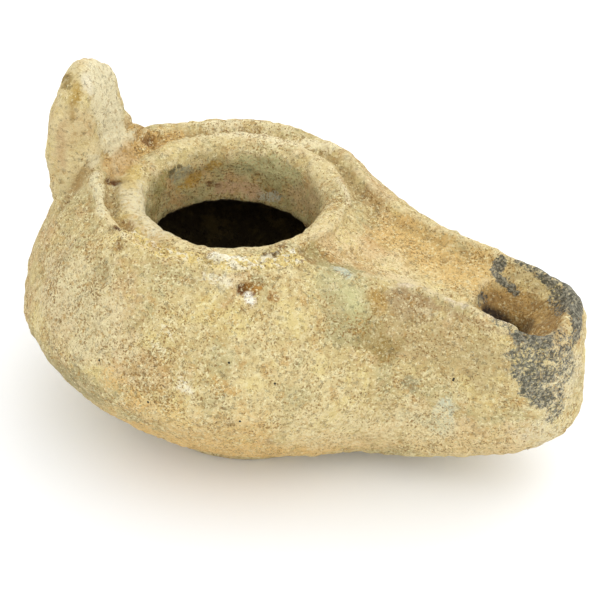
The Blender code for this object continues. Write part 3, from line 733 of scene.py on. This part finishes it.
def keep_soot(mesh, points, torn):
    """Stores how thick the soot lies."""
    soot = np.zeros(len(points))
    for _, start, end, width, thickness in SOOT:
        away = away_from(points, start, end, width)
        soot = np.maximum(soot, thickness * smooth_step(away + SOOT_TEAR * torn, *SOOT_EDGE))
    for gap in SOOT_GAPS:
        bare = smooth_step(away_from(points, *gap) + MARK_TEAR * torn, *SOOT_GAP_EDGE)
        soot *= 1.0 - SOOT_GAP_STRENGTH * bare
    keep(mesh, "soot", soot)


def keep_wick_hole(mesh, points, torn):
    """Stores how near each point is to the painted shade at the wick hole's foot and near edge, and how far
    from its dirty slope.
    """
    deep = smooth_step(away_from(points, *WICK_DEPTH), *WICK_DEPTH_EDGE)
    brown = smooth_step(away_from(points, *WICK_BROWN) + MARK_TEAR * torn, *WICK_BROWN_EDGE)
    keep(mesh, "deep", np.maximum(deep, WICK_BROWN_SHARE * brown))
    keep(mesh, "slope", away_from(points, *SLOPE_DIRT) + MARK_TEAR * torn)


def keep_rubbed(mesh, points, torn):
    """Stores where the clay is rubbed clean, and below nought where more grain shows as painted shade of
    small pits.
    """
    rubbed = np.min([away_from(points, *way) for way in RUBBED], axis=0)
    rubbed = smooth_step(rubbed + MARK_TEAR * torn, *RUBBED_EDGE)
    for middle, reach, amount in PIT_SHADE_GRAIN:
        rubbed -= amount * hump(points, middle, reach)
    keep(mesh, "rubbed", rubbed)


def keep_hollow(mesh, points, normals, ends):
    """Stores how hollow or how proud each place is."""
    around = evened(points, ends, HOLLOW_ROUNDS)
    hollow = np.einsum("ij,ij->i", around - points, normals)
    keep(mesh, "hollow", np.clip(hollow / HOLLOW_FULL, -1.0, 1.0))


def wear(piece):
    """Gives a skin what wear, earth, crust and fire have done to it, in shape and in marks, with some painted
    light and shade among the marks.
    """
    mesh = piece.data
    ends = edge_ends(mesh)
    points = evened(read(mesh, "co") / MM, ends, SKIN_ROUNDS)
    write_points(mesh, points)
    inside = in_the_hollow(mesh, points, read(mesh, "normal"))

    points = softened_edges(points, ends)
    ahead, radius, turn = round_the_mouth(points)
    bore_foot = lower_the_bore(points, ahead, radius)
    slope_the_wick_hole(points)
    points[:, 2] -= TIP_WEAR * smooth_step(points[:, 2], *TIP_LEVEL)
    raise_the_collar_line(points, radius, turn)
    smear_the_collar(points, radius, turn, ends)
    rise, soil, crust = filled_groove(points)
    points[:, 2] += evened(rise, ends, GROOVE_FILL_ROUNDS)
    write_points(mesh, points)
    bore = smooth_step(radius, *(BORE_RADIUS + out for out in BORE_COLOUR_ROUND))
    bore = bore * smooth_step(points[:, 2], *BORE_COLOUR_LEVEL)

    normals = evened(read(mesh, "normal"), ends, NORMAL_ROUNDS)
    normals /= np.linalg.norm(normals, axis=1)[:, None]
    points = roughened(points, normals, inside < 0.5, soil + crust, bore_foot)
    write_points(mesh, points)
    for polygon in mesh.polygons:
        polygon.use_smooth = True

    torn = sum(share * waves(points, size, seed) for size, share, seed in TEARS)
    keep_marks(mesh, "stains", points, BROAD_STAINS_AND_SHADE, torn)
    keep_marks(mesh, "spots", points, SPOTS + BORE_SPOTS, torn)
    keep_soot(mesh, points, torn)
    keep_wick_hole(mesh, points, torn)
    keep_rubbed(mesh, points, torn)
    keep_hollow(mesh, points, normals, ends)
    keep(mesh, "bore", bore)
    keep(mesh, "inside", evened(inside, ends, INSIDE_ROUNDS))
    keep(mesh, "soil", evened(soil, ends, SOIL_ROUNDS))
    keep(mesh, "crust", evened(crust, ends, CRUST_ROUNDS))


class Recipe:
    """Adds nodes to a tree: a socket is fed by a value or by another node's output."""

    def __init__(self, tree):
        self.tree = tree

    def feed(self, socket, value):
        if isinstance(value, bpy.types.NodeSocket):
            self.tree.links.new(value, socket)
        else:
            socket.default_value = value

    def add(self, kind, settings=None, **inputs):
        node = self.tree.nodes.new(kind)
        for name, value in (settings or {}).items():
            setattr(node, name, value)
        for name, value in inputs.items():
            self.feed(node.inputs[name], value)
        return node

    def sum(self, operation, first, second=0.0, third=0.0):
        node = self.add("ShaderNodeMath", {"operation": operation})
        for socket, value in zip(node.inputs, (first, second, third)):
            self.feed(socket, value)
        return node.outputs[0]

    def times(self, first, second):
        return self.sum("MULTIPLY", first, second)

    def plus(self, first, second):
        return self.sum("ADD", first, second)

    def spread(self, value, low, high, start=0.0, end=1.0):
        """A value taken from one range to another, smoothly, and held at the ends."""
        node = self.add("ShaderNodeMapRange", {"interpolation_type": "SMOOTHSTEP"})
        for socket, given in zip(node.inputs, (value, low, high, start, end)):
            self.feed(socket, given)
        return node.outputs[0]

    def noise(self, place, scale, detail=2.0, roughness=0.5):
        node = self.add("ShaderNodeTexNoise", Vector=place, Scale=scale, Detail=detail, Roughness=roughness)
        return node.outputs["Fac"]

    def over(self, below, above, mask):
        """One colour laid over another through a mask."""
        node = self.add("ShaderNodeMix", {"data_type": "RGBA", "blend_type": "MIX"})
        self.feed(node.inputs[0], mask)
        self.feed(node.inputs[6], below)
        self.feed(node.inputs[7], above)
        return node.outputs[2]


def specks_group():
    """Small grains: those above a share of the noise show."""
    tree = bpy.data.node_groups.new("Specks", "ShaderNodeTree")
    for label, kind, value in (
        ("Place", "NodeSocketVector", (0.0, 0.0, 0.0)),
        ("Fineness", "NodeSocketFloat", 2.0),
        ("Bareness", "NodeSocketFloat", 0.6),
        ("Softness", "NodeSocketFloat", 0.05),
    ):
        tree.interface.new_socket(label, in_out="INPUT", socket_type=kind).default_value = value
    tree.interface.new_socket("Mask", in_out="OUTPUT", socket_type="NodeSocketFloat")
    make = Recipe(tree)
    given = make.add("NodeGroupInput").outputs
    value = make.noise(given["Place"], given["Fineness"], 2.0, 0.6)
    low = make.sum("SUBTRACT", given["Bareness"], given["Softness"])
    high = make.sum("ADD", given["Bareness"], given["Softness"])
    make.add("NodeGroupOutput", Mask=make.spread(value, low, high))
    return tree


def fired_clay(pinholes):
    """Buff clay with its stains, dirt, soil, crust, grain and soot, and painted light and shade in places. A
    noise's scale is its lumps in a mm.
    """
    material = bpy.data.materials.new("fired_clay")
    material.use_nodes = True
    tree = material.node_tree
    tree.nodes.clear()
    make = Recipe(tree)
    shader = make.add("ShaderNodeBsdfPrincipled", Roughness=CLAY_ROUGHNESS)
    make.add("ShaderNodeOutputMaterial", Surface=shader.outputs[0])
    coordinates = make.add("ShaderNodeTexCoord").outputs["Object"]
    place = make.add("ShaderNodeMapping", Vector=coordinates, Scale=(1.0 / MM,) * 3).outputs[0]
    shade = {name: tone(*look) for name, look in TONES.items()}
    specks = specks_group()

    def kept(name, output="Fac"):
        return make.add("ShaderNodeAttribute", {"attribute_name": name}).outputs[output]

    def shifted_noise(shift, *look):
        node = make.add("ShaderNodeVectorMath", {"operation": "ADD"})
        make.feed(node.inputs[0], place)
        make.feed(node.inputs[1], shift)
        return make.noise(node.outputs[0], *look)

    def lay(colour, name, mask, strength):
        return make.over(colour, shade[name], make.times(mask, strength))

    def lay_kept(colour, name, grain, low, high):
        ragged = make.plus(kept(name, "Alpha"), make.times(fine, grain))
        return make.over(colour, kept(name, "Color"), make.spread(ragged, low, high))

    def grains(fineness, bareness, softness, cluster):
        shown = make.sum("MULTIPLY_ADD", clusters, -cluster, bareness)
        given = {"Place": place, "Fineness": fineness, "Bareness": shown, "Softness": softness}
        return make.add("ShaderNodeGroup", {"node_tree": specks}, **given).outputs[0]

    inside = kept("inside")
    soil = kept("soil")
    crust = kept("crust")
    hollow = kept("hollow")
    sooty = kept("soot")
    rubbed = kept("rubbed")
    clusters = make.sum("SUBTRACT", make.noise(place, 0.22, 4.0, 0.7), 0.5)
    # Below nought, rubbed brings out more grain: painted shade of small pits
    clusters = make.sum("MULTIPLY_ADD", rubbed, -0.25, clusters)
    fine = make.sum("SUBTRACT", make.noise(place, 2.2, 3.0, 0.7), 0.5)

    # Buff clay, clouded and mottled
    cloud = make.noise(place, 0.09, 4.0, 0.6)
    green = shifted_noise((31.0, 7.0, 3.0), 0.14, 4.0, 0.65)
    mottle = shifted_noise((3.0, 51.0, 9.0), 0.3, 5.0, 0.7)
    flecks = shifted_noise((77.0, 5.0, 21.0), 0.42, 5.0, 0.7)
    colour = make.over(shade["buff"], shade["pale buff"], make.spread(cloud, 0.38, 0.62))
    colour = lay(colour, "green buff", make.spread(green, 0.5, 0.62), 0.6)
    colour = lay(colour, "brown buff", make.spread(mottle, 0.54, 0.64), 0.6)
    colour = lay(colour, "cream", make.spread(flecks, 0.55, 0.64), 0.7)
    colour = lay(colour, "pink buff", make.spread(cloud, 0.47, 0.39), 0.4)
    colour = lay(colour, "yellow buff", make.spread(green, 0.46, 0.37), 0.5)
    # The broad stains, with the painted shade below the channel's near edge among them
    colour = lay_kept(colour, "stains", 1.4, 0.08, 0.92)

    # Darker in the hollows and paler on the crests, by how hollow or proud each place is
    colour = lay(colour, "dirt", make.spread(hollow, 0.15, 0.9), 0.5)
    colour = lay(colour, "crest tone", make.spread(hollow, -0.15, -0.9), 0.5)

    # Soil and crust in the groove
    coarse = make.noise(place, 1.5, 3.0, 0.7)
    gritty = make.over(shade["soil"], shade["dark soil"], make.spread(coarse, 0.5, 0.6))
    gritty = make.over(gritty, shade["pale soil"], make.spread(fine, 0.02, 0.08, 0.0, 0.85))
    colour = make.over(colour, gritty, make.spread(make.plus(soil, fine), 0.3, 0.7, 0.0, 0.9))
    white = make.times(
        make.spread(make.noise(place, 0.9, 1.5, 0.5), 0.49, 0.54), make.spread(crust, 0.4, 0.85, 0.2, 0.85)
    )
    # Painted shade: less of the lime's white in the hollows, which leaves them the browner lime
    white = make.times(white, make.spread(hollow, 0.7, 0.1, 0.35, 1.0))
    limy = make.over(shade["lime"], shade["white lime"], white)
    limy = make.over(limy, shade["dark in the lime"], make.spread(fine, 0.075, 0.14))
    colour = make.over(colour, limy, make.spread(make.plus(crust, fine), 0.25, 0.6, 0.0, 0.95))

    # The bore's wall, grey green with ochre and brown
    bore = kept("bore")
    wall = make.over(shade["bore"], shade["tan bore"], make.spread(flecks, 0.44, 0.56))
    wall = make.over(wall, shade["green bore"], make.spread(green, 0.48, 0.58, 0.0, 0.8))
    wall = make.over(wall, shade["brown bore"], make.spread(mottle, 0.52, 0.6, 0.0, 0.8))
    wall = make.over(wall, shade["pale bore"], make.spread(coarse, 0.43, 0.35, 0.0, 0.8))
    wall = make.over(wall, shade["dark bore"], make.spread(coarse, 0.54, 0.63, 0.0, 0.85))
    colour = make.over(colour, wall, make.times(bore, 0.8))
    # Small marks, among them painted highlights, painted light and painted shade
    colour = lay_kept(colour, "spots", 2.0, 0.2, 0.85)

    # Brown dirt down the slope of the wick hole
    brown = make.over(shade["slope"], shade["brown slope"], make.spread(mottle, 0.4, 0.6))
    slope = make.spread(make.plus(kept("slope"), fine), 0.7, 1.2, 0.85, 0.0)
    colour = make.over(colour, brown, slope)
    patches = make.times(slope, make.spread(coarse, 0.56, 0.66, 0.0, 0.7))
    colour = make.over(colour, shade["dark slope"], patches)

    # Fine grain: the pale one is thinner in the holes and where the clay is rubbed or stained
    medium = shifted_noise((13.0, 2.0, 61.0), 1.1, 4.0, 0.7)
    plain = make.sum("MAXIMUM", make.times(slope, 0.5), bore)
    plain = make.sum("MAXIMUM", plain, make.times(rubbed, 0.7))
    light = make.sum("MULTIPLY_ADD", plain, -0.8, 1.0)
    light = make.times(light, make.sum("MULTIPLY_ADD", kept("stains", "Alpha"), -0.3, 1.0))
    colour = lay(colour, "tan grain", make.spread(medium, 0.54, 0.64), 0.5)
    colour = lay(colour, "cream grain", make.times(light, make.spread(medium, 0.45, 0.34)), 0.55)
    colour = lay(colour, "brown grain", grains(3.0, 0.615, 0.04, 0.5), 0.8)
    colour = lay(colour, "pale grain", make.times(light, grains(2.4, 0.62, 0.05, 0.2)), 0.7)
    colour = lay(colour, "ochre grain", grains(1.4, 0.65, 0.05, 0.4), 0.5)
    colour = lay(colour, "dark grain", grains(2.1, 0.735, 0.03, 0.4), 0.8)
    for hole in pinholes:
        node = make.add("ShaderNodeVectorMath", {"operation": "DISTANCE"})
        make.feed(node.inputs[0], place)
        make.feed(node.inputs[1], hole)
        away = node.outputs["Value"]
        colour = lay(colour, "pinhole", make.spread(away, PINHOLE_REACH, PINHOLE_REACH * PINHOLE_CORE), 1.0)

    # Soot round the wick hole, thinner where fewer grains of it are left
    soot_grain = make.noise(place, 2.1, 4.0, 0.8)
    reach = make.sum("MULTIPLY_ADD", sooty, 0.4, 0.27)
    reach = make.sum("MULTIPLY_ADD", make.sum("SUBTRACT", medium, 0.5), 0.3, reach)
    soot = make.spread(make.sum("SUBTRACT", reach, soot_grain), -0.07, 0.08)
    soot = make.times(soot, make.spread(sooty, 0.1, 0.35))
    dusty = make.over(shade["soot"], shade["dusty soot"], make.spread(fine, -0.08, 0.14))
    colour = make.over(colour, dusty, make.times(soot, 0.9))

    # Smoke and old oil inside, laid near black as painted shade of the hollow, and the dark foot of the wick
    # hole
    dark = make.over(shade["smoky shade"], shade["thin smoky shade"], make.spread(mottle, 0.45, 0.65))
    colour = make.over(colour, dark, make.spread(inside, 0.2, 0.8))
    # Painted shade, near black, where the wick hole runs deep and along its near edge
    deep = kept("deep")
    deep = make.plus(deep, make.times(fine, make.times(deep, 1.5)))
    colour = lay(colour, "wick hole shade", deep, 0.95)
    make.feed(shader.inputs["Base Color"], colour)

    # Grain and pits felt by the light
    grain = make.noise(place, 3.0, 3.0, 0.75)
    pits = make.spread(make.noise(place, 1.5, 3.0, 0.65), 0.28, 0.42)
    height = make.plus(make.times(grain, 0.8), make.times(pits, 0.5))
    bump = make.add("ShaderNodeBump", Strength=1.0, Distance=GRAIN_DEPTH * MM, Height=height)
    make.feed(shader.inputs["Normal"], bump.outputs[0])
    return material


def add_camera(scene):
    """A camera at the photograph's angle: its own right, up and back are worked out from the angles above."""
    back = Vector(
        (
            math.sin(VIEW_AZIMUTH) * math.cos(VIEW_ELEVATION),
            -math.cos(VIEW_AZIMUTH) * math.cos(VIEW_ELEVATION),
            math.sin(VIEW_ELEVATION),
        )
    )
    level = Vector((math.cos(VIEW_AZIMUTH), math.sin(VIEW_AZIMUTH), 0.0))
    upright = back.cross(level)
    right = level * math.cos(VIEW_ROLL) + upright * math.sin(VIEW_ROLL)
    up = upright * math.cos(VIEW_ROLL) - level * math.sin(VIEW_ROLL)
    camera = bpy.data.cameras.new("camera")
    camera.lens = LENS
    camera.sensor_width = SENSOR_WIDTH
    camera.clip_start = CLIP_START
    viewer = bpy.data.objects.new("camera", camera)
    scene.collection.objects.link(viewer)
    viewer.matrix_world = Matrix((right, up, back)).transposed().to_4x4()
    viewer.location = VIEW_TARGET + back * VIEW_DISTANCE
    scene.camera = viewer


def add_floor(scene):
    grid = bmesh.new()
    bmesh.ops.create_grid(grid, x_segments=1, y_segments=1, size=FLOOR_SIZE)
    ground = bpy.data.meshes.new("floor")
    grid.to_mesh(ground)
    grid.free()
    floor = bpy.data.objects.new("floor", ground)
    scene.collection.objects.link(floor)
    floor.location.z = -FLOOR_DROP
    material = bpy.data.materials.new("pale_floor")
    material.use_nodes = True
    shader = material.node_tree.nodes["Principled BSDF"]
    shader.inputs["Base Color"].default_value = FLOOR_COLOUR
    shader.inputs["Roughness"].default_value = FLOOR_ROUGHNESS
    ground.materials.append(material)


def add_lights(scene):
    for name, place, size, power, warmth in LIGHTS:
        glow = bpy.data.lights.new(name, "AREA")
        glow.size = size
        glow.energy = power
        glow.color = warmth
        light = bpy.data.objects.new(name, glow)
        scene.collection.objects.link(light)
        light.location = place
        light.rotation_euler = (place - VIEW_TARGET).to_track_quat("Z", "Y").to_euler()
    world = bpy.data.worlds.new("studio")
    world.use_nodes = True
    sky = world.node_tree.nodes["Background"]
    sky.inputs["Color"].default_value = SKY_COLOUR
    sky.inputs["Strength"].default_value = SKY_STRENGTH
    scene.world = world


lamp = skin_of(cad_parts["lamp"], "fired_clay_lamp")
wear(lamp)
lamp.data.materials.clear()
bpy.context.view_layer.update()
pinholes = [lamp.closest_point_on_mesh(Vector(hole) * MM)[1] / MM for hole in PINHOLES]
lamp.data.materials.append(fired_clay(pinholes))
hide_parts("lamp")
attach(lamp, "root")

add_camera(bpy.context.scene)
add_floor(bpy.context.scene)
add_lights(bpy.context.scene)
bpy.context.scene.view_settings.view_transform = "Standard"
